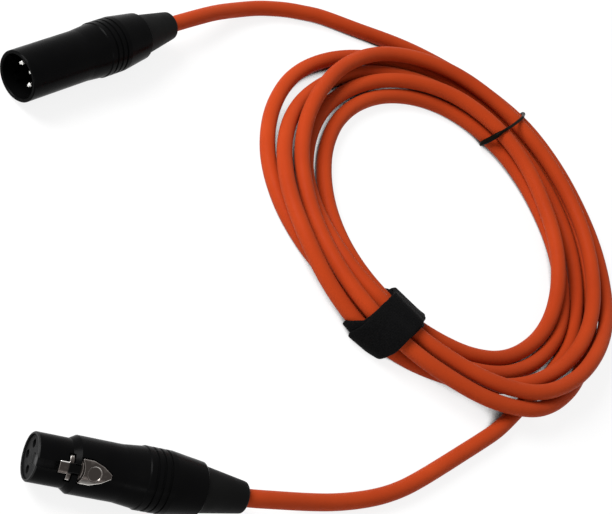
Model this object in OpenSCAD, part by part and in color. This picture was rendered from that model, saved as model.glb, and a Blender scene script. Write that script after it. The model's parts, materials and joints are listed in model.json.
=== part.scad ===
// Microphone cable wound flat and tied, with a pin connector and a socket connector.
// Millimetres, +Z up. The origin is on the table, under the middle of the whole part.

/* [Cable] */
// Outside diameter of the jacket
cable_d = 6.2; // [5:0.1:7]
// How much slimmer the solid cable is all round, so that turns which touch keep a gap
touch_slack = 0.1; // [0:0.05:0.2]
// Middle of the coil, left to right
coil_x = 20; // [0:0.5:40]
// Middle of the coil, front to back
coil_y = 72; // [60:0.5:90]
// Rings of points in one loop of the wound cable
rings_per_loop = 24; // [12:12:48]
// Sides of the wound cable
coil_sides = 6; // [6:1:12]
// Sides of the two free leads
lead_sides = 10; // [8:1:12]

/* [Connectors] */
// Length of the pin connector, rim to boot end
male_len = 75; // [70:0.2:90]
// Length of the socket connector, face to boot end
female_len = 75.4; // [70:0.2:90]
// Middle of the pin connector's rim, left to right
male_x = -97.5; // [-110:0.5:-90]
// Middle of the pin connector's rim, front to back
male_y = -73.2; // [-80:0.1:-66]
// How far the pin connector is rolled on its axis
male_roll = 24; // [0:1:90]
// Middle of the socket connector's face, left to right
female_x = 23.6; // [15:0.1:30]
// Middle of the socket connector's face, front to back
female_y = -150.8; // [-160:0.1:-140]
// Heading of the socket connector, face to boot
female_heading = 52; // [40:1:65]
// How far the latch leans from upright
latch_lean = 35; // [0:1:60]

/* [Shells] */
// Radius of the pin connector's barrel
male_shell_r = 9.6; // [9.4:0.1:10]
// Inner radius of the barrel, which takes a 16 mm nose
socket_r = 8.2; // [8.05:0.05:8.4]
// Depth of the socket in the barrel
socket_depth = 14; // [12:0.5:16]
// Radius of the nose on the socket connector
nose_r = 8; // [7.8:0.05:8]
// Length of the nose up to its shoulder
nose_len = 11.5; // [10:0.5:13]
// Radius of the socket connector behind the shoulder
female_shell_r = 9.4; // [9.2:0.1:9.8]
// Where the pin connector's barrel starts to widen, from its rim
male_flare_z = 28.6; // [26:0.2:33]
// Where the socket connector starts to widen, from its face
female_flare_z = 29.6; // [26:0.2:33]
// Inner radius of both shells behind the seat
seat_r = 8.6; // [8.5:0.1:8.8]
// Width of the key
key_w = 2.6; // [2:0.1:3]

/* [Contacts] */
// Diameter of a contact pin
pin_d = 2.4; // [2.2:0.05:2.6]
// Radius of the circle that the contacts stand on
contact_circle_r = 4.25; // [4:0.05:4.7]
// Angle from contact three to each of the others
contact_spread = 81; // [75:1:120]
// How far the pin tips stand inside the rim
pin_setback = 2.9; // [1:0.1:4]

/* [Bushing and boot] */
// Largest radius of the screwed bushing
grip_r = 10.5; // [10.2:0.1:10.8]
// Grip grooves round the bushing
grip_grooves = 3; // [2:1:4]
// Depth of a grip groove
groove_depth = 0.4; // [0.2:0.1:0.9]
// Length of the bushing that shows
bushing_len = 21.6; // [20:0.2:24]
// Radius of the bushing at the boot
bushing_end_r = 9; // [8.4:0.1:9.6]
// Length of the boot behind the bushing
boot_len = 17; // [14:0.5:20]
// Radius of the boot at the bushing
boot_r = 8; // [7.5:0.1:8.1]
// Radius of the boot at its end
boot_end_r = 5.5; // [4.6:0.1:6]

/* [Latch] */
// Width of the latch button
button_w = 7.8; // [6:0.2:8.4]
// Front edge of the button, from the face
button_z = 14.1; // [13.8:0.1:15]
// Point of the button, from the face
button_tip_z = 24.2; // [23:0.1:25]
// Height of the button top above the axis
button_top = 10.2; // [9.9:0.1:10.6]
// Height of the latch pivot above the axis
pivot_y = 6.6; // [6.4:0.1:6.8]
// Latch pivot from the face
pivot_z = 26.4; // [26:0.1:28]
// Free gap round the latch
latch_gap = 0.35; // [0.2:0.05:0.5]

/* [Strap and tie] */
// Place of the strap round the coil
strap_angle = 291; // [285:1:300]
// How far the strap slants from straight across
strap_slant = -10; // [-25:1:25]
// Width of the strap
strap_w = 18.5; // [15:0.5:25]
// Thickness of the strap
strap_t = 1.2; // [0.8:0.1:1.6]
// Place of the twist tie round the coil
tie_angle = 111; // [105:1:120]
// How far the twist tie slants from straight across
tie_slant = -15; // [-25:1:25]
// Width of the twist tie
tie_w = 1.4; // [1:0.1:3]
// Thickness of the twist tie
tie_t = 1.2; // [0.8:0.1:1.4]
// Free gap between a band and the cable in it
band_gap = 0.3; // [0.2:0.05:0.6]

/* [Hidden] */
$fn = 48;

shell_black = [0.07, 0.07, 0.08];
plastic_black = [0.04, 0.04, 0.045];
rubber_black = [0.05, 0.05, 0.05];
contact_silver = [0.78, 0.77, 0.74];
latch_chrome = [0.8, 0.8, 0.82];
steel = [0.6, 0.6, 0.62];
chuck_grey = [0.35, 0.35, 0.36];
cable_orange = [0.78, 0.27, 0.12];
fabric_black = [0.03, 0.03, 0.035];
tie_black = [0.05, 0.05, 0.06];
wire_red = [0.7, 0.1, 0.1];
wire_white = [0.9, 0.9, 0.88];
wire_copper = [0.72, 0.45, 0.3];

cable_r = cable_d / 2 - touch_slack;
pin_r = pin_d / 2;
rear_len = bushing_len + boot_len;
male_rear = male_len - rear_len;
female_rear = female_len - rear_len;
// Each connector lies on its bushing.
axis_h = grip_r;

// A slip gap between pieces that fit into each other
slip = 0.1;
cable_bore_r = cable_d / 2 + 0.2;
insert_r = seat_r - slip;
neck_r = 5.9;
chuck_r = 6.6;
chuck_bore_r = chuck_r + 0.2;
spigot_len = 7;
spigot_r = seat_r - slip;
// The jacket is stripped this far behind the shell.
jacket_start = 4;
// A pin is thicker where it sits in its insert.
pin_root_r = pin_r + 0.4;
cup_r = 1.7;
cup_bore_r = 0.95;
// The contacts end this far in front of the shell's rear.
cup_end = 9;
wire_r = 0.6;
wire_bundle_r = 1.3;
contact_r = 1.9;
contact_bore_r = pin_r + 0.05;
contact_hole_r = pin_r + 0.2;
contact_front = 3.1;
// The plastic face of the socket connector stands a little inside the nose.
face_z = 0.6;
face_end = 3;
face_r = nose_r - 0.8 - slip;
latch_floor = 5;
latch_under = 7.2;
// The catch stands a little proud of the nose.
tongue_top = nose_r + 0.2;
pivot_pin_r = 0.7;
arm_half = 2;
ear_out = 3.5;
spring_r = 1.6;
spring_z = 17.6;

// The winding, clockwise. Each row is one turn, with twelve stations from 165 degrees.
// Every number is the distance of the cable's middle from the coil's middle.
first_station = 165;
stations = 12;
coil_radii = [
  [95.5, 83.8, 80.8, 80, 81.6, 80.9, 80.2, 68, 62.8, 62.2, 64.6, 67.4],
  [67.3, 63.9, 57.6, 53.4, 54.2, 59, 60.4, 56.4, 54.8, 54.2, 56.3, 60],
  [61.7, 61.1, 57.3, 56.4, 59.6, 65.6, 66.9, 63.8, 65, 72.2, 81.8, 85.5],
  [81, 77, 73.8, 73.4, 74.4, 80.6, 85.4, 75.8, 70.4, 68.2, 70.3, 73.7],
  [78.3, 76.2, 70.6, 70.6, 72, 73.8, 74.4, 71, 73.9, 76.4, 77.2, 75.8],
  [73.4, 70.4, 67.2, 66.8, 67.8, 72.2, 80.4]
];
// The height of the cable's middle at the same stations. It lies on the table at its own radius.
coil_heights = [
  [3, 3.3, 4.4, 3.3, 4.8, 11.8, 13.3, 11.2, 11.2, 7.4, 3, 3],
  [6.4, 9.6, 11, 9.8, 8.8, 5, 3, 3.8, 4.8, 3.4, 3, 3],
  [3, 3.3, 4.4, 3.3, 3, 3, 3, 3.8, 4.8, 3.4, 3, 3],
  [3, 3.3, 4.4, 3.3, 3, 4.2, 9, 10.6, 11.5, 10, 9.6, 10.2],
  [9.6, 9.9, 10.6, 9.3, 9.2, 10.2, 8.4, 3.8, 5.4, 11, 8, 3],
  [3, 3.3, 4.4, 3.3, 3, 3, 3]
];
// The radius one station before the first and one after the last, where the leads run out
radius_before = 122;
radius_after = 113;

// The free leads, as points that the cable passes through
male_route = [
  [-97.5, 18, 9.2], [-97.7, 30.5, 7], [-97, 42.5, 4.8], [-95, 56, 3.4], [-91, 68, 3], [-87, 76, 3],
  [-82.5, 84, 3]
];
female_route = [
  [100, 33, 3], [100, 21.5, 3], [99.6, 10, 3], [99.2, -1, 3], [98.6, -14, 3], [97.6, -25, 3],
  [95.4, -35.5, 3], [92, -45.5, 3.2], [88, -55.5, 4.2], [83.3, -65.6, 5.8], [77, -78.5, 8.6]
];

station_angle = 360 / stations;
chart_r = [for (row = coil_radii) each row];
chart_h = [for (row = coil_heights) each row];
last_station = len(chart_r) - 1;
ring_step = stations / rings_per_loop;

function unit(v) = v / norm(v);

// A smooth curve through b and c, with a before and d after them
function between(a, b, c, d, t) =
  b + t * ((c - a) + t * ((2 * a - 5 * b + 4 * c - d) + t * (3 * b - a - 3 * c + d))) / 2;

function chart_value(chart, before, after, s) =
  let (
    i = min(max(floor(s), 0), last_station - 1),
    a = i == 0 ? before : chart[i - 1],
    d = i + 2 > last_station ? after : chart[i + 2]
  ) between(a, chart[i], chart[i + 1], d, s - i);

// The cable's middle in the coil, s stations from its start
function coil_point(s) =
  let (
    angle = first_station - s * station_angle,
    r = chart_value(chart_r, radius_before, radius_after, s),
    h = max(cable_r, chart_value(chart_h, cable_r, cable_r, s))
  ) [coil_x + r * cos(angle), coil_y + r * sin(angle), h];

coil_rings = [for (s = [0:ring_step:last_station]) coil_point(s)];
start_dir = unit([for (k = [0, 1]) (coil_point(0.1) - coil_point(0))[k]]);
end_dir = unit([for (k = [0, 1]) (coil_point(last_station) - coil_point(last_station - 0.1))[k]]);
coil_start = coil_rings[0] - cable_d * [start_dir.x, start_dir.y, 0];
coil_end = coil_rings[len(coil_rings) - 1] + cable_d * [end_dir.x, end_dir.y, 0];
coil_path = concat([coil_start], coil_rings, [coil_end]);

// A point on the straight run between two rings
function coil_chord(s) =
  let (i = min(floor(s / ring_step), len(coil_rings) - 2), t = s / ring_step - i)
    coil_rings[i] * (1 - t) + coil_rings[i + 1] * t;

// The least gap from the wound cable to its other turns
gap_step = ring_step / 3;
gap_points = [for (s = [0:gap_step:last_station]) coil_chord(s)];
half_turn = stations / 2 / gap_step;
function least_gap() =
  min([
    for (i = [0:len(gap_points) - half_turn - 1])
      min([for (j = [i + half_turn:len(gap_points) - 1]) norm(gap_points[i] - gap_points[j])])
  ]) - 2 * cable_r;

function path_dir(path, i) = unit(path[min(i + 1, len(path) - 1)] - path[max(i - 1, 0)]);

// Points round the cable, with one at its lowest line
function ring(middle, dir, sides) =
  let (side = unit(cross(dir, [0, 0, 1])), up = cross(side, dir))
    [for (k = [0:sides - 1]) let (a = 360 * k / sides - 90) middle + cable_r * (cos(a) * side + sin(a) * up)];

module tube(path, sides) {
  points = [for (i = [0:len(path) - 1]) each ring(path[i], path_dir(path, i), sides)];
  last = (len(path) - 1) * sides;
  walls = [
    for (i = [0:len(path) - 2], k = [0:sides - 1])
      let (a = i * sides + k, b = i * sides + (k + 1) % sides)
        each [[a, b, a + sides], [b, b + sides, a + sides]]
  ];
  caps = [
    for (k = [1:sides - 2])
      each [[0, k + 1, k], [last, last + k, last + k + 1]]
  ];
  polyhedron(points = points, faces = concat(walls, caps), convexity = 10);
}

// The route with a point between each pair, for a round bend that stays on the table
function smoothed(p) =
  [
    for (i = [0:len(p) - 2])
      let (a = p[max(i - 1, 0)], d = p[min(i + 2, len(p) - 1)], m = between(a, p[i], p[i + 1], d, 0.5))
        each [p[i], [m.x, m.y, max(m.z, cable_r)]]
  ];

// A point on a connector's axis
function male_axis(z) = [male_x, male_y + z, axis_h];
function female_axis(z) = [
  female_x + z * cos(female_heading),
  female_y + z * sin(female_heading),
  axis_h
];

male_path = concat(
  [male_axis(male_rear + jacket_start), male_axis(male_len - cable_d)],
  smoothed(concat([male_axis(male_len)], male_route, [coil_start])),
  [coil_start]
);
female_path = concat(
  smoothed(concat([coil_end], female_route, [female_axis(female_len)])),
  [female_axis(female_len), female_axis(female_len - cable_d), female_axis(female_rear + jacket_start)]
);

// In a connector's own frame z runs from its face to its boot, and the key is at +y.
module place_male() {
  translate([male_x, male_y, axis_h]) rotate([-90, 0, 0]) rotate([0, 0, male_roll]) children();
}

module place_female() {
  translate([female_x, female_y, axis_h]) rotate([0, 0, female_heading - 90]) rotate([-90, 0, 0])
    rotate([0, 0, 180 + latch_lean]) children();
}

// Where contact number n stands, seen along the axis
function contact_at(n) =
  let (turn = [-contact_spread, contact_spread, 0][n - 1])
    contact_circle_r * [sin(turn), -cos(turn)];

module at_contact(n) {
  translate([contact_at(n).x, contact_at(n).y, 0]) children();
}

// An outline in x and z, as thick as from y0 to y1
module upright(y0, y1) {
  translate([0, y1, 0]) rotate([90, 0, 0]) linear_extrude(y1 - y0) children();
}

module male_shell() {
  color(shell_black) place_male() {
    rotate_extrude() polygon([
      [socket_r + 0.3, 0], [male_shell_r - 0.3, 0], [male_shell_r, 0.4], [male_shell_r, male_flare_z],
      [grip_r - 0.3, male_rear], [seat_r, male_rear], [seat_r, socket_depth], [socket_r, socket_depth],
      [socket_r, 0.4]
    ]);
    key_depth = 0.9;
    key_z = 4.7;
    translate([-key_w / 2, socket_r - key_depth, key_z])
      cube([key_w, key_depth + 0.3, socket_depth - key_z]);
  }
}

module male_insert() {
  insert_front = socket_depth + 0.05;
  insert_rear = 23;
  color(plastic_black) place_male() difference() {
    translate([0, 0, insert_front]) cylinder(r = insert_r, h = insert_rear - insert_front);
    for (n = [1:3]) at_contact(n) translate([0, 0, insert_front - 1]) cylinder(r = pin_root_r + 0.05, h = 12);
  }
}

module male_pin(n) {
  cup_z = male_rear - cup_end;
  shoulder_z = 23.2;
  color(contact_silver) place_male() at_contact(n) rotate_extrude() polygon([
    [0, pin_setback], [0.5, pin_setback], [1, pin_setback + 0.5], [pin_r, pin_setback + 1.2],
    [pin_r, socket_depth], [pin_root_r, socket_depth], [pin_root_r, shoulder_z], [cup_r, shoulder_z],
    [cup_r, cup_z], [cup_bore_r, cup_z], [cup_bore_r, cup_z - 4], [0, cup_z - 4]
  ]);
}

// The collet that grips the jacket, split into four fingers
module chuck(rear) {
  front = rear - 1;
  slit_w = 1;
  color(chuck_grey) difference() {
    rotate_extrude() polygon([
      [cable_bore_r, front], [chuck_r, front], [chuck_r, rear + 8], [5.2, rear + 11.5],
      [cable_bore_r, rear + 11.5]
    ]);
    for (turn = [0, 90]) rotate([0, 0, turn]) translate([-chuck_r, -slit_w / 2, rear + 2])
      cube([2 * chuck_r, slit_w, 12]);
  }
}

// The bushing screws into the shell, closes the chuck and holds the boot.
module bushing(rear) {
  pitch = 2.4;
  groove_w = 1;
  slope = 0.2;
  grooves = [
    for (i = [0:grip_grooves - 1])
      let (z = rear + 2.2 + pitch * i)
        each [
          [grip_r, z], [grip_r - groove_depth, z + slope],
          [grip_r - groove_depth, z + groove_w - slope], [grip_r, z + groove_w]
        ]
  ];
  boot_seat = rear + 12;
  color(shell_black) rotate_extrude() polygon(concat(
    [[spigot_r, rear - spigot_len], [spigot_r, rear], [grip_r - 0.3, rear], [grip_r, rear + 0.4]],
    grooves,
    [
      [grip_r, rear + 9.8], [bushing_end_r, rear + bushing_len - 0.3],
      [bushing_end_r - 0.3, rear + bushing_len],
      [neck_r + slip, rear + bushing_len], [neck_r + slip, boot_seat], [chuck_bore_r, boot_seat],
      [chuck_bore_r, rear - spigot_len]
    ]
  ));
}

module boot(rear) {
  flange = rear + bushing_len + 0.05;
  tail = rear + rear_len;
  round = 1.2;
  corner = [
    for (turn = [0:30:90])
      [boot_end_r - round + round * cos(turn), tail - round + round * sin(turn)]
  ];
  color(rubber_black) rotate_extrude() polygon(concat(
    [[cable_bore_r, rear + 12.3], [neck_r, rear + 12.3], [neck_r, flange], [boot_r, flange]],
    corner,
    [[cable_bore_r, tail]]
  ));
}

// A core from its solder cup to the stripped end of the jacket
module wire(n, rear, tint) {
  far = contact_at(n);
  z0 = rear - cup_end + 0.3;
  z1 = rear + jacket_start - 0.3;
  inward = (wire_bundle_r / contact_circle_r - 1) * far;
  run = [inward.x, inward.y, z1 - z0];
  color(tint) translate([far.x, far.y, z0])
    rotate([0, acos(run.z / norm(run)), atan2(run.y, run.x)]) cylinder(r = wire_r, h = norm(run), $fn = 24);
}

module male_chuck() { place_male() chuck(male_rear); }
module male_bushing() { place_male() bushing(male_rear); }
module male_boot() { place_male() boot(male_rear); }
module male_shield_wire() { place_male() wire(1, male_rear, wire_copper); }
module male_hot_wire() { place_male() wire(2, male_rear, wire_red); }
module male_cold_wire() { place_male() wire(3, male_rear, wire_white); }
module female_chuck() { place_female() chuck(female_rear); }
module female_bushing() { place_female() bushing(female_rear); }
module female_boot() { place_female() boot(female_rear); }
module female_shield_wire() { place_female() wire(1, female_rear, wire_copper); }
module female_hot_wire() { place_female() wire(2, female_rear, wire_red); }
module female_cold_wire() { place_female() wire(3, female_rear, wire_white); }

// The button from above, with a margin for the hole that it moves in
module button_outline(margin) {
  half = button_w / 2 + margin;
  waist = button_z + 3.6;
  polygon([
    [-half, button_z - margin], [half, button_z - margin], [half, waist], [half - 1.3, waist + 3.6],
    [0.7 + margin, button_tip_z + margin], [-0.7 - margin, button_tip_z + margin],
    [-half + 1.3, waist + 3.6], [-half, waist]
  ]);
}

// The catch in front of the button: a tooth, a crossbar and a neck
module catch_outline(margin) {
  tooth_w = 3.8;
  tooth_z = 7.4;
  bar_w = 8.4;
  bar_z = 10.4;
  bar_end = 11.8;
  neck_w = 3;
  translate([-tooth_w / 2 - margin, tooth_z - margin])
    square([tooth_w + 2 * margin, bar_z - tooth_z + 2 * margin]);
  translate([-bar_w / 2 - margin, bar_z - margin])
    square([bar_w + 2 * margin, bar_end - bar_z + 2 * margin]);
  translate([-neck_w / 2 - margin, bar_end]) square([neck_w + 2 * margin, button_z - bar_end]);
}

module female_shell() {
  step_z = 15;
  shoulder_z = nose_len + 2.3;
  color(shell_black) place_female() difference() {
    rotate_extrude() polygon([
      [nose_r - 0.8, 0], [nose_r - 0.3, 0], [nose_r, 0.4], [nose_r, nose_len],
      [female_shell_r, shoulder_z], [female_shell_r, female_flare_z], [grip_r - 0.3, female_rear],
      [seat_r, female_rear], [seat_r, step_z], [nose_r - 0.8, step_z]
    ]);
    key_slot();
    upright(latch_floor, button_top + 2) button_outline(latch_gap);
    upright(latch_floor, button_top + 2) catch_outline(latch_gap);
  }
}

// The slot in the nose that takes the key of the mating barrel
module key_slot() {
  slot_w = key_w + 0.2;
  slot_end = 6.9;
  translate([-slot_w / 2, nose_r - 1.6, -1]) cube([slot_w, 3, slot_end + 1]);
}

// The front of the plastic insert, with the three holes and a shallow square recess
module female_face() {
  recess = [3.8, 4.4, 0.8];
  color(plastic_black) place_female() difference() {
    translate([0, 0, face_z]) cylinder(r = face_r, h = face_end - face_z);
    key_slot();
    translate([-recess.x / 2, 1, face_z - 0.1]) cube([recess.x, recess.y, recess.z + 0.1]);
    for (n = [1:3]) at_contact(n) cylinder(r = contact_hole_r, h = 5);
  }
}

// The carrier behind it, which holds the contacts, the spring and the pivot's two ears
module female_insert() {
  seat_z = 15.05;
  rear_z = 23;
  ear_in = arm_half + latch_gap;
  ear_foot = 3;
  color(plastic_black) place_female() difference() {
    union() {
      translate([0, 0, face_end + 0.05]) cylinder(r = face_r, h = seat_z - face_end + 1);
      translate([0, 0, seat_z]) cylinder(r = insert_r, h = rear_z - seat_z);
      intersection() {
        for (x = [-ear_out, ear_in]) translate([x, ear_foot, rear_z - 1])
          cube([ear_out - ear_in, pivot_y + 1 - ear_foot, pivot_z + 2.4 - rear_z]);
        translate([0, 0, rear_z - 2]) cylinder(r = insert_r, h = 10);
      }
    }
    translate([-10, latch_floor, 6.9]) cube([20, 10, rear_z - 7.9]);
    translate([-ear_in, latch_floor, 16]) cube([2 * ear_in, 10, 14]);
    key_slot();
    for (n = [1:3]) at_contact(n) cylinder(r = contact_r + 0.05, h = 30);
    translate([-10, pivot_y, pivot_z]) rotate([0, 90, 0]) cylinder(r = pivot_pin_r + 0.02, h = 20);
  }
}

module female_contact(n) {
  cup_z = female_rear - cup_end;
  color(contact_silver) place_female() at_contact(n) rotate_extrude() polygon([
    [contact_bore_r, contact_front], [contact_r, contact_front], [contact_r, 23], [cup_r, 23],
    [cup_r, cup_z], [cup_bore_r, cup_z], [cup_bore_r, cup_z - 3], [0, cup_z - 3], [0, 20],
    [contact_bore_r, 20]
  ]);
}

// One pressed lever, hinged behind the button and rounded like the shell
module latch_lever() {
  arm_y = 5.7;
  arm_z = 21;
  thumb_r = 2.3;
  thumb_z = 18.6;
  front_r = 7;
  front_dip = 1;
  color(latch_chrome) place_female() difference() {
    union() {
      intersection() {
        upright(latch_under, button_top) button_outline(0);
        cylinder(r = button_top, h = 40);
      }
      intersection() {
        upright(latch_under, tongue_top) catch_outline(0);
        cylinder(r = tongue_top, h = 40);
      }
      translate([-arm_half, arm_y, arm_z])
        cube([2 * arm_half, latch_under - arm_y + 0.2, pivot_z + 1 - arm_z]);
    }
    translate([0, button_top + 1, thumb_z]) rotate([90, 0, 0]) cylinder(r = thumb_r, h = 1.5);
    translate([0, tongue_top, button_z + front_dip - front_r]) rotate([-90, 0, 0])
      cylinder(r = front_r, h = 5);
    translate([-10, pivot_y, pivot_z]) rotate([0, 90, 0]) cylinder(r = pivot_pin_r + 0.05, h = 20);
  }
}

module latch_pivot_pin() {
  color(steel) place_female() translate([-ear_out + 0.1, pivot_y, pivot_z]) rotate([0, 90, 0])
    cylinder(r = pivot_pin_r, h = 2 * ear_out - 0.2);
}

module latch_spring() {
  color(steel) place_female() translate([0, latch_floor + 0.05, spring_z]) rotate([-90, 0, 0]) difference() {
    cylinder(r = spring_r, h = latch_under - latch_floor - 0.1);
    translate([0, 0, -1]) cylinder(r = spring_r - 0.5, h = 5);
  }
}

module male_lead() { color(cable_orange) tube(male_path, lead_sides); }
module female_lead() { color(cable_orange) tube(female_path, lead_sides); }

module cable_coil() {
  echo(least_gap_mm = least_gap());
  color(cable_orange) tube(coil_path, coil_sides);
}

// Where the turns pass a place round the coil, in stations
function passes(angle) =
  let (first = (first_station - angle + 360) / station_angle % stations)
    [for (s = [first:stations:last_station]) s];

// A loop round all the turns at one place, flat where it lies on the table
module band(angle, slant, width, thick, knob_r) {
  middle = 68;
  inner_r = cable_r + band_gap;
  across = [cos(angle + slant), sin(angle + slant)];
  from = [coil_x + middle * cos(angle), coil_y + middle * sin(angle)];
  spread = (width / 2 + 3) / middle * 180 / PI;
  strands = [
    for (turn = [-spread, 0, spread], s = passes(angle + turn))
      let (p = coil_chord(s)) [(p.x - from.x) * across.x + (p.y - from.y) * across.y, p.z]
  ];
  footing = [for (p = strands) [p.x, inner_r + thick]];
  module around(r) { hull() for (p = concat(strands, footing)) translate(p) circle(r = r, $fn = 24); }
  module above(h) { intersection() { children(); translate([-100, h]) square([200, 100]); } }
  translate([from.x, from.y, 0]) rotate([0, 0, angle + slant]) rotate([90, 0, 0]) {
    linear_extrude(width, center = true) difference() {
      above(0) around(inner_r + thick);
      above(thick) around(inner_r);
    }
    if (knob_r > 0) for (end = [-1, 1]) {
      reach = max([for (p = strands) end * p.x]) + inner_r + thick;
      translate([end * reach, inner_r + thick, -1.5]) cylinder(r = knob_r, h = 3, $fn = 16);
    }
  }
}

module hook_and_loop_strap() { color(fabric_black) band(strap_angle, strap_slant, strap_w, strap_t, 0); }
module twist_tie() { color(tie_black) band(tie_angle, tie_slant, tie_w, tie_t, 1.2); }

male_shell();
male_insert();
male_pin(1);  // male_pin_1
male_pin(2);  // male_pin_2
male_pin(3);  // male_pin_3
male_chuck();
male_bushing();
male_boot();
male_hot_wire();
male_cold_wire();
male_shield_wire();
female_shell();
female_face();
female_insert();
female_contact(1);  // female_contact_1
female_contact(2);  // female_contact_2
female_contact(3);  // female_contact_3
latch_lever();
latch_pivot_pin();
latch_spring();
female_chuck();
female_bushing();
female_boot();
female_hot_wire();
female_cold_wire();
female_shield_wire();
male_lead();
cable_coil();
female_lead();
hook_and_loop_strap();
twist_tie();
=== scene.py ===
import json
import math

import bpy
from mathutils import Matrix, Vector, noise


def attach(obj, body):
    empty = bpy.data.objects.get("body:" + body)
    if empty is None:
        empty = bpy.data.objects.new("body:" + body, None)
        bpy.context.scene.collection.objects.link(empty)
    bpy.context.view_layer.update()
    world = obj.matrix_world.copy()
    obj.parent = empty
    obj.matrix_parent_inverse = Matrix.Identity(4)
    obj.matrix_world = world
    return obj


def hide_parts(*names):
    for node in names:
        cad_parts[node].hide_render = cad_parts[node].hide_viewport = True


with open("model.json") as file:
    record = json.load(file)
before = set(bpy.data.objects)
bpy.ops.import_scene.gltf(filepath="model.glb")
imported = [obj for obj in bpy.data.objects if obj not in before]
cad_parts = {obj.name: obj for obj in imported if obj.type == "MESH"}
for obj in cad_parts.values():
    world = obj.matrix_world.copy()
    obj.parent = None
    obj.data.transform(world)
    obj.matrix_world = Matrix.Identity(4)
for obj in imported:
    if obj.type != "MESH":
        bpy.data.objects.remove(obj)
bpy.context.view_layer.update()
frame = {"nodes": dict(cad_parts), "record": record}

MM = 0.001
ROOT = "cable_and_connectors"

# Camera, fitted to the photograph
PHOTO_WIDTH_PX = 612
FOCAL_PX = 1608
SENSOR_MM = 36
CAMERA_NEAR = 10 * MM
CAMERA_TARGET = Vector((5.5, 2.5, 0)) * MM
CAMERA_DISTANCE = 612 * MM
CAMERA_HEADING = math.radians(11.4)
CAMERA_TILT = math.radians(43.2)
CAMERA_ROLL = math.radians(47.4)

# Connectors, as in the solids, with lengths in millimetres
AXIS_H = 10.5
MALE_FACE = Vector((-97.5, -73.2, AXIS_H)) * MM
MALE_LEN = 75
FEMALE_FACE = Vector((23.6, -150.8, AXIS_H)) * MM
FEMALE_LEN = 75.4
BOOT_DEPTH = 20
FEMALE_HEADING = math.radians(52)
LATCH_LEAN = math.radians(35)
FEMALE_AXIS = Vector((math.cos(FEMALE_HEADING), math.sin(FEMALE_HEADING), 0))
LATCH_UP = Matrix.Rotation(LATCH_LEAN, 3, FEMALE_AXIS) @ Vector((0, 0, 1))
LATCH_LOW = FEMALE_AXIS.cross(LATCH_UP)

# Where each painted reflection, highlight and shade on the socket and its latch begins and ends, in
# metres in the socket's own frame
NOSE_EDGE = (0.0003, 0.0006)
NOSE_SIDE = (0.009, 0.01)
RECESS_BOTTOM = (0.0008, 0.0011)
RECESS_TOP = (0.0056, 0.006)
RECESS_SIDE = (0.0018, 0.002)
TOOTH_END = (0.0101, 0.0107)
BUTTON_START = (0.0142, 0.0149)
NECK_SIDE = (0.0015, 0.002)
# How far a face of the latch has to lean to its low side, or from it, to get a painted highlight
PAINTED_RIM_LEAN = (0.2, 0.6)
PAINTED_GLINT_LEAN = (-0.15, -0.5)

# Cable, as in the solids: millimetres from the coil's middle, twelve stations a turn
CABLE_R = 3.1
CABLE_SIDES = 20
TABLE_HEIGHT = 3.0
COIL_MID = (20, 72)
COIL_REACH = 110
FIRST_STATION = 165
STATION_ANGLE = 30
COIL_RADII = [
    [95.5, 83.8, 80.8, 80, 81.6, 80.9, 80.2, 68, 62.8, 62.2, 64.6, 67.4],
    [67.3, 63.9, 57.6, 53.4, 54.2, 59, 60.4, 56.4, 54.8, 54.2, 56.3, 60],
    [61.7, 61.1, 57.3, 56.4, 59.6, 65.6, 66.9, 63.8, 65, 72.2, 81.8, 85.5],
    [81, 77, 73.8, 73.4, 74.4, 80.6, 85.4, 75.8, 70.4, 68.2, 70.3, 73.7],
    [78.3, 76.2, 70.6, 70.6, 72, 73.8, 74.4, 71, 73.9, 76.4, 77.2, 75.8],
    [73.4, 70.4, 67.2, 66.8, 67.8, 72.2, 80.4],
]
COIL_HEIGHTS = [
    [3, 3.3, 4.4, 3.3, 4.8, 11.8, 13.3, 11.2, 11.2, 7.4, 3, 3],
    [6.4, 9.6, 11, 9.8, 8.8, 5, 3, 3.8, 4.8, 3.4, 3, 3],
    [3, 3.3, 4.4, 3.3, 3, 3, 3, 3.8, 4.8, 3.4, 3, 3],
    [3, 3.3, 4.4, 3.3, 3, 4.2, 9, 10.6, 11.5, 10, 9.6, 10.2],
    [9.6, 9.9, 10.6, 9.3, 9.2, 10.2, 8.4, 3.8, 5.4, 11, 8, 3],
    [3, 3.3, 4.4, 3.3, 3, 3, 3],
]
RADIUS_BEFORE = 122
RADIUS_AFTER = 113
MALE_ROUTE = [
    (-97.5, 18, 9.2), (-97.7, 30.5, 7), (-97, 42.5, 4.8), (-95, 56, 3.4),
    (-91, 68, 3), (-87, 76, 3), (-82.5, 84, 3),
]
FEMALE_ROUTE = [
    (100, 33, 3), (100, 21.5, 3), (99.6, 10, 3), (99.2, -1, 3), (98.6, -14, 3), (97.6, -25, 3),
    (95.4, -35.5, 3), (92, -45.5, 3.2), (88, -55.5, 4.2), (83.3, -65.6, 5.8), (77, -78.5, 8.6),
]

# How finely the cable's line is drawn: stations, pieces of a stretch, millimetres, and rounds
RING_STEP = 0.5
STRETCH_STEPS = 10
POINT_STEP = 1.5
SMOOTHING_ROUNDS = 6

# Strap and tie, in the place of the solids
BAND_MIDDLE = 68
BAND_REACH = 30
STRAP_ANGLE, STRAP_W, STRAP_T = 291, 16, 1.4
TIE_ANGLE, TIE_SLANT, TIE_R = 111, -15, 0.65

# Course of the strap, in turns round the bundle from the middle of its underside
STRAP_STEPS = 150
STRAP_START, STRAP_END = 0.12, 1.93
STEP_UP_START, STEP_UP_LENGTH = 0.97, 0.12
TURN_METRES = 0.08
# Its ends are tongues, in steps and as a share of the width
TONGUE_STEPS, TONGUE_WIDTH = 6, 0.75
# It ripples off the bundle and sways along it: noise by step and by millimetre of width
RIPPLE = (0.09, 0.12)
SWAY, SWAY_SIZE, SWAY_SEED = (0.08, 0.08), 1.5, 9
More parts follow.
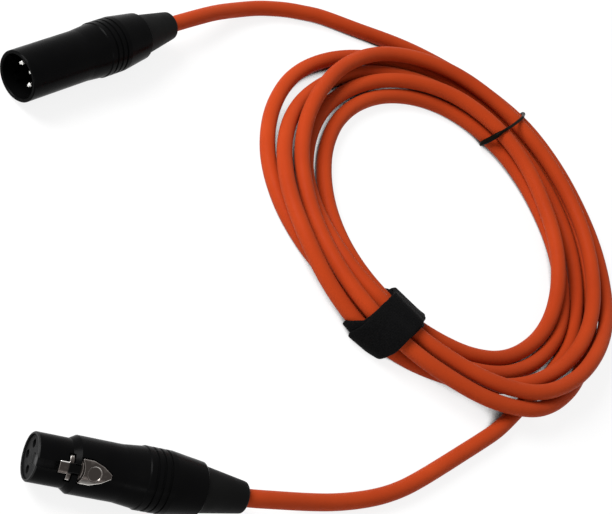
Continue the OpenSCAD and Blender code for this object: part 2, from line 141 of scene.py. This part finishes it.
# It narrows where it turns under the bundle, from this height down, and is pressed on the table
UNDER_HEIGHT, UNDER_NARROWING = 6, 0.3
TABLE_GAP, PRESSED = 0.02, 0.5

# Wire of the tie: it bows along the cable on top, and swells to a knob where it bends down
TIE_STEPS, TIE_SIDES = 160, 12
TIE_GAP = 0.05
TIE_BOW, TIE_LEAN = 2.2, 0.3
KNOB_FACING, KNOB_HEIGHT, KNOB_OUT, KNOB_SWELL = 0.6, 6, 0.8, 0.8

# Floor and light, in metres and watts
FLOOR_HALF = 3.0
FLOOR_LEVEL = -0.0001
FLOOR_GLOW = 0.84
# Painted shade on the floor's glow in narrow slits: how far to look for cover, and the share of
# open sky over which the glow comes back
SLIT_DEPTH = 0.03
SLIT_LIGHT = (0.11, 0.23)
SKY_STRENGTH = 0.36
SOFTBOXES = {
    "key": ((-0.62, -0.44, 0.64), (0.5, 0.5), 12),
    "strip": ((0.75, -0.6, 0.4), (0.6, 0.15), 1.0),
}


def material(name):
    """A new material with its Principled shader."""
    mat = bpy.data.materials.new(name)
    mat.use_nodes = True
    return mat, mat.node_tree, mat.node_tree.nodes["Principled BSDF"]


def add(tree, kind, **values):
    """A node with its settings and unlinked inputs."""
    node = tree.nodes.new(kind)
    for key, value in values.items():
        if hasattr(node, key):
            setattr(node, key, value)
        else:
            node.inputs[key.replace("_", " ")].default_value = value
    return node


def speckle(tree, scale, detail=3.0):
    """A noise in the part's own coordinates, with scale in features a metre."""
    coords = add(tree, "ShaderNodeTexCoord")
    texture = add(tree, "ShaderNodeTexNoise", Scale=scale, Detail=detail)
    tree.links.new(coords.outputs["Object"], texture.inputs["Vector"])
    return texture.outputs["Fac"]


def ramp(tree, factor, stops):
    """Colours along a factor, as (place, colour) pairs."""
    node = tree.nodes.new("ShaderNodeValToRGB")
    elements = node.color_ramp.elements
    while len(elements) < len(stops):
        elements.new(0.5)
    for element, (place, colour) in zip(elements, stops):
        element.position = place
        element.color = (*colour, 1)
    tree.links.new(factor, node.inputs["Fac"])
    return node.outputs["Color"]


def mapped(tree, value, reach, low, high, curve="LINEAR"):
    """A value's reach, as a (start, end) pair, spread over low to high."""
    start, end = reach
    node = add(
        tree, "ShaderNodeMapRange", interpolation_type=curve,
        From_Min=start, From_Max=end, To_Min=low, To_Max=high,
    )
    tree.links.new(value, node.inputs["Value"])
    return node.outputs["Result"]


def span(tree, factor, low, high):
    """A noise, most of which is between 0.3 and 0.7, spread over low to high."""
    return mapped(tree, factor, (0.3, 0.7), low, high)


def rising(tree, value, step, top=1.0):
    """A soft step from 0 up to the top, as the value goes through a (start, end) pair."""
    return mapped(tree, value, step, 0.0, top, "SMOOTHSTEP")


def falling(tree, value, step):
    """A soft step from 1 down to 0, as the value goes through a (start, end) pair."""
    return mapped(tree, value, step, 1.0, 0.0, "SMOOTHSTEP")


def combined(tree, operation, total, *others):
    """Numbers taken together by one operation, each with the result so far."""
    for other in others:
        node = add(tree, "ShaderNodeMath", operation=operation)
        tree.links.new(total, node.inputs[0])
        tree.links.new(other, node.inputs[1])
        total = node.outputs[0]
    return total


def measured(tree, vector, direction):
    """How far a vector reaches along a direction."""
    node = add(tree, "ShaderNodeVectorMath", operation="DOT_PRODUCT")
    tree.links.new(vector, node.inputs[0])
    node.inputs[1].default_value = direction
    return node.outputs["Value"]


def blended(tree, factor, colour, over):
    """A plain colour laid over another by a factor."""
    node = add(tree, "ShaderNodeMix", data_type="RGBA")
    below, above, result = node.inputs[6], node.inputs[7], node.outputs[2]
    tree.links.new(factor, node.inputs["Factor"])
    tree.links.new(colour, below)
    above.default_value = (*over, 1)
    return result


def bump(tree, shader, height, strength, distance, below=None):
    """Relief on the shader's normal, over another bump if there is one."""
    node = add(tree, "ShaderNodeBump", Strength=strength, Distance=distance)
    tree.links.new(height, node.inputs["Height"])
    if below:
        tree.links.new(below.outputs["Normal"], node.inputs["Normal"])
    tree.links.new(node.outputs["Normal"], shader.inputs["Normal"])
    return node


def moulded(name, dark, light, rough, grain, specular=0.35):
    """A moulded or lacquered surface with a faint cloud, grain and uneven gloss."""
    mat, tree, shader = material(name)
    cloud, fine, gloss = speckle(tree, 60), speckle(tree, grain, 2), speckle(tree, 260)
    colours = ramp(tree, cloud, [(0.35, dark), (0.65, light)])
    tree.links.new(colours, shader.inputs["Base Color"])
    tree.links.new(span(tree, gloss, rough - 0.05, rough + 0.07), shader.inputs["Roughness"])
    shader.inputs["Specular IOR Level"].default_value = specular
    bump(tree, shader, fine, 0.12, 0.00004)
    return mat


def polished(tree, shader, gloss, low, high, below=None):
    """Bright metal with uneven gloss from low to high and fine scratches."""
    tree.links.new(span(tree, speckle(tree, gloss), low, high), shader.inputs["Roughness"])
    shader.inputs["Metallic"].default_value = 1.0
    bump(tree, shader, speckle(tree, gloss, 4), 0.05, 0.00002, below)


def metal(name, dark, light, rough, grain):
    """Polished metal with slight tarnish."""
    mat, tree, shader = material(name)
    colours = ramp(tree, speckle(tree, 300), [(0.3, dark), (0.7, light)])
    tree.links.new(colours, shader.inputs["Base Color"])
    polished(tree, shader, grain, rough * 0.7, rough * 1.4)
    return mat


def socket_frame(tree):
    """A point's place: behind the socket's face, from its axis to the latch, and to either side."""
    coords = add(tree, "ShaderNodeTexCoord")
    place = add(tree, "ShaderNodeVectorMath", operation="SUBTRACT")
    tree.links.new(coords.outputs["Object"], place.inputs[0])
    place.inputs[1].default_value = FEMALE_FACE
    along, up, low = (
        measured(tree, place.outputs["Vector"], direction)
        for direction in (FEMALE_AXIS, LATCH_UP, LATCH_LOW)
    )
    across = add(tree, "ShaderNodeMath", operation="ABSOLUTE")
    tree.links.new(low, across.inputs[0])
    return along, up, across.outputs[0]


def tint(name, mask, colour):
    """Lays a colour over a material where a mask is 1."""
    tree = MATERIALS[name].node_tree
    base = tree.nodes["Principled BSDF"].inputs["Base Color"]
    tree.links.new(blended(tree, mask(tree), base.links[0].from_socket, colour), base)


def painted_edge_reflection(tree):
    """A mask of the front edge of the socket's nose, where a painted reflection lightens the shell.
    """
    along, _, across = socket_frame(tree)
    return combined(
        tree, "MULTIPLY", falling(tree, along, NOSE_EDGE), falling(tree, across, NOSE_SIDE)
    )


def painted_recess_reflection(tree):
    """A mask of the square recess between the socket's holes and its latch, where a painted
    reflection lightens the face.
    """
    _, up, across = socket_frame(tree)
    return combined(
        tree, "MULTIPLY", rising(tree, up, RECESS_BOTTOM), falling(tree, up, RECESS_TOP),
        falling(tree, across, RECESS_SIDE),
    )


def latch_chrome(name):
    """Metal with painted reflections in its colour: a dark room on top, the pale table at its low
    side, painted highlights on its rim and tooth, and painted shade in its neck.
    """
    mat, tree, shader = material(name)
    rounded = add(tree, "ShaderNodeBevel", samples=16, Radius=0.0005)
    up_facing, low_facing = (
        measured(tree, rounded.outputs["Normal"], direction) for direction in (LATCH_UP, LATCH_LOW)
    )
    uneven = combined(tree, "ADD", up_facing, span(tree, speckle(tree, 420), -0.05, 0.05))
    # Painted reflection tones by how far a face turns up: pale on the sides, a shoulder between,
    # dark on top
    sides, shoulder, top = (0.55, 0.52, 0.49), (0.17, 0.15, 0.138), (0.04, 0.034, 0.031)
    colours = ramp(tree, uneven, [(0.35, sides), (0.8, shoulder), (0.96, top)])
    along, _, across = socket_frame(tree)
    painted_rim_highlight = (rising(tree, along, BUTTON_START), rising(tree, low_facing, PAINTED_RIM_LEAN))
    painted_tooth_glint = (falling(tree, along, TOOTH_END), rising(tree, low_facing, PAINTED_GLINT_LEAN))
    painted_neck_shade = (
        rising(tree, along, TOOTH_END), falling(tree, along, BUTTON_START),
        falling(tree, across, NECK_SIDE),
    )
    # Painted highlights on the button's low rim and the tooth's upper edge, and painted shade in
    # the neck
    for masks, colour in (
        (painted_rim_highlight, (0.7, 0.68, 0.64)), (painted_tooth_glint, (0.95, 0.93, 0.9)), (painted_neck_shade, (0.004, 0.004, 0.004)),
    ):
        colours = blended(tree, combined(tree, "MULTIPLY", *masks), colours, colour)
    tree.links.new(colours, shader.inputs["Base Color"])
    polished(tree, shader, 1100, 0.11, 0.2, below=rounded)
    return mat


def jacket():
    """Soft matte cable jacket: cloudy orange, faint lay of the cores, fine skin."""
    mat, tree, shader = material("orange_jacket")
    dark, middle, light = (0.37, 0.030, 0.0025), (0.41, 0.036, 0.0035), (0.45, 0.043, 0.0050)
    cloud = ramp(tree, speckle(tree, 34, 4), [(0.3, dark), (0.52, middle), (0.75, light)])
    tree.links.new(cloud, shader.inputs["Base Color"])
    tree.links.new(span(tree, speckle(tree, 420), 0.46, 0.6), shader.inputs["Roughness"])
    shader.inputs["Specular IOR Level"].default_value = 0.04
    shader.inputs["Sheen Weight"].default_value = 0.05
    shader.inputs["Sheen Roughness"].default_value = 0.9
    shader.inputs["Sheen Tint"].default_value = (1.0, 0.7, 0.4, 1)
    lay = bump(tree, shader, speckle(tree, 130, 1), 0.1, 0.0002)
    bump(tree, shader, speckle(tree, 2600, 2), 0.1, 0.00004, below=lay)
    return mat


def webbing():
    """Black woven tape: ribs across and along its length, with a little fuzz."""
    mat, tree, shader = material("black_webbing")
    coords = add(tree, "ShaderNodeTexCoord")
    waves = []
    bands_per_scale = 0.314
    for direction, pitch in (("X", 0.0011), ("Y", 0.0008)):
        wave = add(
            tree, "ShaderNodeTexWave", bands_direction=direction, Scale=bands_per_scale / pitch,
            Distortion=0.6,
        )
        tree.links.new(coords.outputs["UV"], wave.inputs["Vector"])
        waves.append(wave.outputs["Fac"])
    fuzz = speckle(tree, 1500, 4)
    dark, light = (0.0018, 0.0018, 0.0019), (0.005, 0.005, 0.0052)
    tree.links.new(ramp(tree, fuzz, [(0.3, dark), (0.7, light)]), shader.inputs["Base Color"])
    shader.inputs["Roughness"].default_value = 0.85
    shader.inputs["Specular IOR Level"].default_value = 0.04
    shader.inputs["Sheen Weight"].default_value = 0.01
    shader.inputs["Sheen Roughness"].default_value = 0.4
    soft = bump(tree, shader, fuzz, 0.35, 0.0002)
    bump(tree, shader, combined(tree, "MULTIPLY", *waves), 0.45, 0.0002, below=soft)
    return mat


# Dark and light colour, roughness, grains a metre and, where it isn't the usual one, specular level
MOULDED = {
    "satin_black_shell": ((0.0016, 0.0016, 0.0017), (0.0026, 0.0026, 0.0027), 0.26, 1800, 0.022),
    "black_plastic": ((0.0035, 0.0035, 0.0036), (0.006, 0.006, 0.0062), 0.5, 1400, 0.055),
    "black_rubber": ((0.002, 0.002, 0.002), (0.0035, 0.0035, 0.0034), 0.5, 2200, 0.05),
    "grey_plastic": ((0.09, 0.09, 0.095), (0.12, 0.12, 0.125), 0.5, 1400),
    "red_core": ((0.38, 0.01, 0.01), (0.46, 0.015, 0.012), 0.45, 1600),
    "white_core": ((0.72, 0.72, 0.68), (0.8, 0.8, 0.77), 0.45, 1600),
    "black_tie": ((0.004, 0.0033, 0.0022), (0.008, 0.0066, 0.0045), 0.4, 1500, 0.03),
}
METALS = {
    "silver_contact": ((0.62, 0.61, 0.58), (0.8, 0.79, 0.76), 0.2, 900),
    "spring_steel": ((0.38, 0.38, 0.39), (0.5, 0.5, 0.51), 0.3, 900),
    "bare_copper": ((0.5, 0.24, 0.13), (0.65, 0.33, 0.2), 0.3, 1500),
}
MATERIALS = {name: moulded(name, *look) for name, look in MOULDED.items()}
MATERIALS.update({name: metal(name, *look) for name, look in METALS.items()})
MATERIALS["chrome_latch"] = latch_chrome("chrome_latch")
MATERIALS["orange_jacket"] = jacket()
MATERIALS["black_webbing"] = webbing()
# Painted reflections: a lighter front edge on the socket's nose and a lighter square recess in its
# face
tint("satin_black_shell", painted_edge_reflection, (0.02, 0.02, 0.02))
tint("black_plastic", painted_recess_reflection, (0.065, 0.065, 0.065))


def paint_solids():
    """Each CAD node gets the material of its record slot."""
    slots = {entry["node"]: entry["material_slot"] for entry in frame["record"]["subparts"]}
    for name, node in frame["nodes"].items():
        node.data.materials.clear()
        node.data.materials.append(MATERIALS[slots[name]])


def placed(name, data):
    """A new object in the scene."""
    obj = bpy.data.objects.new(name, data)
    bpy.context.scene.collection.objects.link(obj)
    return obj


def piece(name, verts, faces, uvs, slot_name, body):
    """A smooth mesh that rides on a body and takes its finish from a record slot."""
    mesh = bpy.data.meshes.new(name)
    mesh.from_pydata([tuple(v) for v in verts], [], faces)
    mesh.shade_smooth()
    layer = mesh.uv_layers.new(name="metres")
    for loop in mesh.loops:
        layer.data[loop.index].uv = uvs[loop.vertex_index]
    mesh.materials.append(MATERIALS[slot_name])
    obj = placed(name, mesh)
    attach(obj, body)
    return obj


def ring_faces(rows, sides, closed=False):
    """Faces between rows of points, which close on themselves or have a cap on each end."""
    faces = []
    for i in range(rows if closed else rows - 1):
        here, there = i * sides, (i + 1) % rows * sides
        for k in range(sides):
            after = (k + 1) % sides
            faces.append((here + k, here + after, there + after, there + k))
    if not closed:
        last = (rows - 1) * sides
        faces += [tuple(range(sides))[::-1], tuple(range(last, last + sides))]
    return faces


def camera():
    """A camera where the photograph was taken from, rolled as it was."""
    data = bpy.data.cameras.new("camera")
    data.sensor_fit = "HORIZONTAL"
    data.sensor_width = SENSOR_MM
    data.lens = FOCAL_PX * SENSOR_MM / PHOTO_WIDTH_PX
    data.clip_start = CAMERA_NEAR
    aim = Matrix.Rotation(CAMERA_HEADING, 4, "Z") @ Matrix.Rotation(CAMERA_TILT, 4, "X")
    back = aim.to_3x3() @ Vector((0, 0, 1))
    spot = Matrix.Translation(CAMERA_TARGET + back * CAMERA_DISTANCE)
    obj = placed("camera", data)
    obj.matrix_world = spot @ aim @ Matrix.Rotation(CAMERA_ROLL, 4, "Z")
    bpy.context.scene.camera = obj


# Cable
def between(a, b, c, d, t):
    """A smooth curve from b to c, with a before and d after them."""
    return b + t * ((c - a) + t * ((2 * a - 5 * b + 4 * c - d) + t * (3 * b - a - 3 * c + d))) / 2


def chart_value(rows, before, after, s):
    """A chart's value s stations from its start, with one value before it and one after."""
    chart = [before] + [value for row in rows for value in row] + [after]
    i = min(max(int(s), 0), len(chart) - 4)
    return between(*chart[i:i + 4], s - i)


LAST_STATION = sum(len(row) for row in COIL_RADII) - 1


def coil_point(s):
    """The cable's middle in the coil, s stations from its start, in millimetres."""
    angle = math.radians(FIRST_STATION - s * STATION_ANGLE)
    r = chart_value(COIL_RADII, RADIUS_BEFORE, RADIUS_AFTER, s)
    h = max(TABLE_HEIGHT, chart_value(COIL_HEIGHTS, TABLE_HEIGHT, TABLE_HEIGHT, s))
    return Vector((COIL_MID[0] + r * math.cos(angle), COIL_MID[1] + r * math.sin(angle), h))


def male_axis(z):
    """A point of the pin connector's axis, in millimetres behind its face."""
    return MALE_FACE / MM + Vector((0, z, 0))


def female_axis(z):
    """A point of the socket connector's axis, in millimetres behind its face."""
    return FEMALE_FACE / MM + z * FEMALE_AXIS


def resampled(points, step):
    """The same line with its points a step apart."""
    out, left = [points[0].copy()], step
    for a, b in zip(points, points[1:]):
        length = (b - a).length
        while length >= left > 0:
            a = a.lerp(b, left / length)
            out.append(a.copy())
            length, left = (b - a).length, step
        left -= length
    return out + [points[-1].copy()]


def cable_path():
    """The whole cable from inside one boot to inside the other, in millimetres."""
    depths = (BOOT_DEPTH, BOOT_DEPTH / 2, 0)
    corners = [male_axis(MALE_LEN - depth) for depth in depths]
    corners += [Vector(p) for p in MALE_ROUTE]
    corners += [coil_point(i * RING_STEP) for i in range(int(LAST_STATION / RING_STEP) + 1)]
    corners += [Vector(p) for p in FEMALE_ROUTE]
    corners += [female_axis(FEMALE_LEN - depth) for depth in reversed(depths)]
    padded = [corners[0]] + corners + [corners[-1]]
    line = [
        between(*padded[i:i + 4], k / STRETCH_STEPS)
        for i in range(len(corners) - 1) for k in range(STRETCH_STEPS)
    ]
    line = resampled(line + [corners[-1]], POINT_STEP)
    for _ in range(SMOOTHING_ROUNDS):
        middle = [(a + 2 * b + c) / 4 for a, b, c in zip(line, line[1:], line[2:])]
        line = [line[0]] + middle + [line[-1]]
    # The full jacket is a little thicker than the solids, so the turns ride up a little
    spread = CABLE_R / TABLE_HEIGHT
    for p in line:
        if (p.xy - Vector(COIL_MID)).length < COIL_REACH:
            p.z = max(p.z, TABLE_HEIGHT) * spread
        p.z = max(p.z, CABLE_R)
    return line


def sweep(path, r, sides):
    """Vertices, faces and metre UVs of a round tube along a path in millimetres."""
    verts, uvs, run = [], [], 0.0
    for i, p in enumerate(path):
        a, b = path[max(i - 1, 0)], path[min(i + 1, len(path) - 1)]
        along = (b - a).normalized()
        side = along.cross(Vector((0, 0, 1))).normalized()
        up = side.cross(along)
        run += (p - a).length
        for k in range(sides):
            turn = 2 * math.pi * k / sides
            verts.append((p + r * (math.cos(turn) * side + math.sin(turn) * up)) * MM)
            uvs.append((run * MM, turn * r * MM))
    faces = [(face[0], *face[:0:-1]) for face in ring_faces(len(path), sides)]
    return verts, faces, uvs


def cable(path):
    """The jacket from boot to boot, with the socket connector on its end."""
    obj = piece("wound_cable", *sweep(path, CABLE_R, CABLE_SIDES), "orange_jacket", ROOT)
    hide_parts("male_lead", "cable_coil", "female_lead")


# Strap and tie
def band_frame(angle, slant):
    """The middle of a band on the table, and the directions across and along the cable there."""
    a, turn = math.radians(angle), math.radians(angle + slant)
    x, y = COIL_MID
    middle = Vector((x + BAND_MIDDLE * math.cos(a), y + BAND_MIDDLE * math.sin(a), 0))
    across = Vector((math.cos(turn), math.sin(turn), 0))
    return middle, across, Vector((-across.y, across.x, 0))


def crossings(path, middle, across, along, offset):
    """Where the cable passes a plane across the band, as (distance across, height)."""
    found = []
    for p, q in zip(path, path[1:]):
        a, b = ((v - middle).dot(along) - offset for v in (p, q))
        if a * b <= 0 and a != b:
            hit = p.lerp(q, a / (a - b))
            x = (hit - middle).dot(across)
            if abs(x) < BAND_REACH:
                found.append((x, hit.z))
    return found


def hull_outline(circles, radius, count):
    """Even points on a band round circles, from the middle of its underside, with normals."""
    sides = 48
    cloud = []
    for x, z in circles:
        for k in range(sides):
            turn = 2 * math.pi * k / sides
            cloud.append((x + radius * math.cos(turn), z + radius * math.sin(turn)))
    cloud.sort()
    corners = []
    for ordered in (cloud, cloud[::-1]):
        chain = []
        for p in ordered:
            while len(chain) > 1:
                (ax, az), (bx, bz) = chain[-2:]
                if (bx - ax) * (p[1] - az) - (bz - az) * (p[0] - ax) > 0:
                    break
                chain.pop()
            chain.append(p)
        corners += chain[:-1]
    points = [Vector(p) for p in corners]
    middle = (max(p.x for p in points) + min(p.x for p in points)) / 2
    pairs = enumerate(zip(points, points[1:]))
    i = next(k for k, (a, b) in pairs if a.x <= middle < b.x)
    a, b = points[i:i + 2]
    start = a.lerp(b, (middle - a.x) / (b.x - a.x))
    loop = [start] + points[i + 1:] + points[:i + 1] + [start]
    total = sum((b - a).length for a, b in zip(loop, loop[1:]))
    even = resampled([p.to_3d() for p in loop], total / count)[:count]
    out = []
    for i, p in enumerate(even):
        run = even[(i + 1) % count] - even[i - 1]
        out.append((p.x, p.y, Vector((run.y, -run.x)).normalized()))
    return out


def tape_section(width, thick, edge_steps=5, flat_steps=8):
    """The rounded outline of a tape, as (across its width, off its inner face)."""
    half, r = width / 2 - thick / 2, thick / 2
    top = [(-half + 2 * half * k / flat_steps, thick) for k in range(flat_steps + 1)]
    bottom = [(x, 0.0) for x, _ in reversed(top)]
    ends = []
    for side in (1, -1):
        turns = [math.pi / 2 - math.pi * k / (edge_steps + 1) for k in range(1, edge_steps + 1)]
        ends.append([(side * (half + r * math.cos(t)), r + side * r * math.sin(t)) for t in turns])
    return top + ends[0] + bottom + ends[1]


def over_top(outline):
    """Each point's share of the way over the bundle, from its inner side out, or 0 below."""
    count = len(outline)
    xs = [x for x, _, _ in outline]
    outer, inner = xs.index(max(xs)), xs.index(min(xs))
    steps = (inner - outer) % count
    shares = [0.0] * count
    for k in range(steps + 1):
        shares[(outer + k) % count] = 1 - k / steps
    return shares


def strap_turn(path, section, slant, lift, shift, bow, wave):
    """A function that places the strap's points on one turn, pushed along the cable on top."""
    middle, across, along = band_frame(STRAP_ANGLE, slant)
    outlines, arches = {}, {}
    widths = {v for v, _ in section}
    for v in widths:
        circles = crossings(path, middle, across, along, v + shift)
        outlines[v] = hull_outline(circles, CABLE_R + lift, STRAP_STEPS)
        arches[v] = [min(8 * w * (1 - w), 1) for w in over_top(outlines[v])]

    def place(i, v, n, trim):
        """Step i of the course, v across the tape and n off its inner face, trimmed to a share."""
        x, z, normal = outlines[v][i % STRAP_STEPS]
        off = n + wave * noise.noise(Vector((i * RIPPLE[0], v * RIPPLE[1], lift)))
        low = max(1 - z / UNDER_HEIGHT, 0)
        edge = v * trim * (1 - UNDER_NARROWING * low * low)
        edge += shift + bow * arches[v][i % STRAP_STEPS]
        sway = noise.noise(Vector((i * SWAY[0], v * SWAY[1], lift + SWAY_SEED)))
        edge += SWAY_SIZE * wave * sway
        spot = middle + across * (x + normal.x * off) + along * edge
        return Vector((spot.x, spot.y, max(z + normal.y * off, TABLE_GAP + PRESSED * n)))

    return place


def strap(path):
    """Two turns of woven tape: the inner one shows beside the outer one, which slants less."""
    section = tape_section(STRAP_W, STRAP_T)
    inner = strap_turn(path, section, slant=-14, lift=0.1, shift=-3.2, bow=4.5, wave=0.35)
    outer = strap_turn(path, section, slant=-7, lift=0.25 + STRAP_T, shift=0.3, bow=0.9, wave=0.5)
    first, last = int(STRAP_START * STRAP_STEPS), int(STRAP_END * STRAP_STEPS)
    verts, uvs = [], []
    for i in range(first, last + 1):
        turns = i / STRAP_STEPS
        out = min(max((turns - STEP_UP_START) / STEP_UP_LENGTH, 0), 1)
        out *= out * (3 - 2 * out)
        end = min(min(i - first, last - i) / TONGUE_STEPS, 1)
        trim = TONGUE_WIDTH + (1 - TONGUE_WIDTH) * math.sqrt(end * (2 - end))
        for v, n in section:
            verts.append(inner(i, v, n, trim).lerp(outer(i, v, n, trim), out) * MM)
            uvs.append((turns * TURN_METRES, v * MM))
    faces = ring_faces(last - first + 1, len(section))
    obj = piece("strap_tape", verts, faces, uvs, "black_webbing", ROOT)
    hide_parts("hook_and_loop_strap")


def band_tube(loop, radii, along):
    """A tube round a loop that lies about in a plane across the cable."""
    verts, uvs = [], []
    for i, (p, r) in enumerate(zip(loop, radii)):
        run = (loop[(i + 1) % len(loop)] - loop[i - 1]).normalized()
        out = run.cross(along).normalized()
        side = out.cross(run)
        for k in range(TIE_SIDES):
            turn = 2 * math.pi * k / TIE_SIDES
            verts.append((p + r * (math.cos(turn) * side + math.sin(turn) * out)) * MM)
            uvs.append((i * MM, k * MM))
    return verts, ring_faces(len(loop), TIE_SIDES, closed=True), uvs


def twist_tie(path):
    """A wire loop that bows along the cable on top and is thicker where it bends down."""
    middle, across, along = band_frame(TIE_ANGLE, TIE_SLANT)
    circles = crossings(path, middle, across, along, 0)
    outline = hull_outline(circles, CABLE_R + TIE_R + TIE_GAP, TIE_STEPS)
    loop, radii = [], []
    for (x, z, normal), w in zip(outline, over_top(outline)):
        knob = max(abs(normal.x) - KNOB_FACING, 0) / (1 - KNOB_FACING) * min(z / KNOB_HEIGHT, 1)
        push = TIE_BOW * 4 * w * (1 - w) * (1 + TIE_LEAN * (1 - 2 * w))
        spot = middle + across * (x + KNOB_OUT * knob * normal.x) - along * push
        loop.append(spot + Vector((0, 0, max(z, TIE_R))))
        radii.append(TIE_R * (1 + KNOB_SWELL * knob))
    obj = piece("twist_tie_wire", *band_tube(loop, radii, along), "black_tie", ROOT)
    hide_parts("twist_tie")


# Floor and light
def to_eye(tree, lights, shows, out):
    """One shader for the light on the object, another for what the camera and mirrors see."""
    rays = add(tree, "ShaderNodeLightPath")
    kinds = ("Is Camera Ray", "Is Glossy Ray", "Is Transmission Ray")
    seen = combined(tree, "MAXIMUM", *(rays.outputs[kind] for kind in kinds))
    mix = add(tree, "ShaderNodeMixShader")
    tree.links.new(seen, mix.inputs["Fac"])
    tree.links.new(lights.outputs[0], mix.inputs[1])
    tree.links.new(shows.outputs[0], mix.inputs[2])
    tree.links.new(mix.outputs[0], out.inputs["Surface"])


def floor():
    """A pale floor that shows white to the camera and keeps the shadow."""
    mat = bpy.data.materials.new("pale_floor")
    mat.use_nodes = True
    tree = mat.node_tree
    tree.nodes.clear()
    matte = add(tree, "ShaderNodeBsdfDiffuse", Color=(0.75, 0.75, 0.75, 1))
    seen = add(tree, "ShaderNodeBsdfDiffuse", Color=(0.2, 0.2, 0.2, 1))
    glow = add(tree, "ShaderNodeEmission", Color=(1, 1, 1, 1))
    # Painted shade: the floor's glow fades out in the narrow slits between turns, where little open
    # sky is seen
    open_sky = add(tree, "ShaderNodeAmbientOcclusion", samples=24, Distance=SLIT_DEPTH)
    slit_shaded_glow = rising(tree, open_sky.outputs["AO"], SLIT_LIGHT, FLOOR_GLOW)
    tree.links.new(slit_shaded_glow, glow.inputs["Strength"])
    both = add(tree, "ShaderNodeAddShader")
    tree.links.new(seen.outputs[0], both.inputs[0])
    tree.links.new(glow.outputs[0], both.inputs[1])
    to_eye(tree, matte, both, add(tree, "ShaderNodeOutputMaterial"))
    mesh = bpy.data.meshes.new("floor")
    signs = ((-1, -1), (1, -1), (1, 1), (-1, 1))
    corners = [(x * FLOOR_HALF, y * FLOOR_HALF, FLOOR_LEVEL) for x, y in signs]
    mesh.from_pydata(corners, [], [(0, 1, 2, 3)])
    mesh.materials.append(mat)
    placed("floor", mesh)


def softbox(name, place, size, power):
    """A soft lamp that faces the middle of the part."""
    data = bpy.data.lights.new(name, "AREA")
    data.shape = "RECTANGLE"
    data.size, data.size_y = size
    data.energy = power
    obj = placed(name, data)
    obj.location = place
    obj.rotation_euler = (-Vector(place)).to_track_quat("-Z", "Y").to_euler()


def lights():
    """Soft light from the pin connector's side, a weak strip from the other, and an even sky."""
    world = bpy.data.worlds.new("studio")
    world.use_nodes = True
    tree = world.node_tree
    even = tree.nodes["Background"]
    even.inputs["Color"].default_value = (1, 1, 1, 1)
    even.inputs["Strength"].default_value = SKY_STRENGTH
    seen = add(tree, "ShaderNodeBackground", Color=(1, 1, 1, 1), Strength=1.0)
    to_eye(tree, even, seen, tree.nodes["World Output"])
    bpy.context.scene.world = world
    for name, (place, size, power) in SOFTBOXES.items():
        softbox(name, place, size, power)


camera()
bpy.context.scene.view_settings.view_transform = "Standard"
paint_solids()
PATH = cable_path()
cable(PATH)
strap(PATH)
twist_tie(PATH)
floor()
lights()
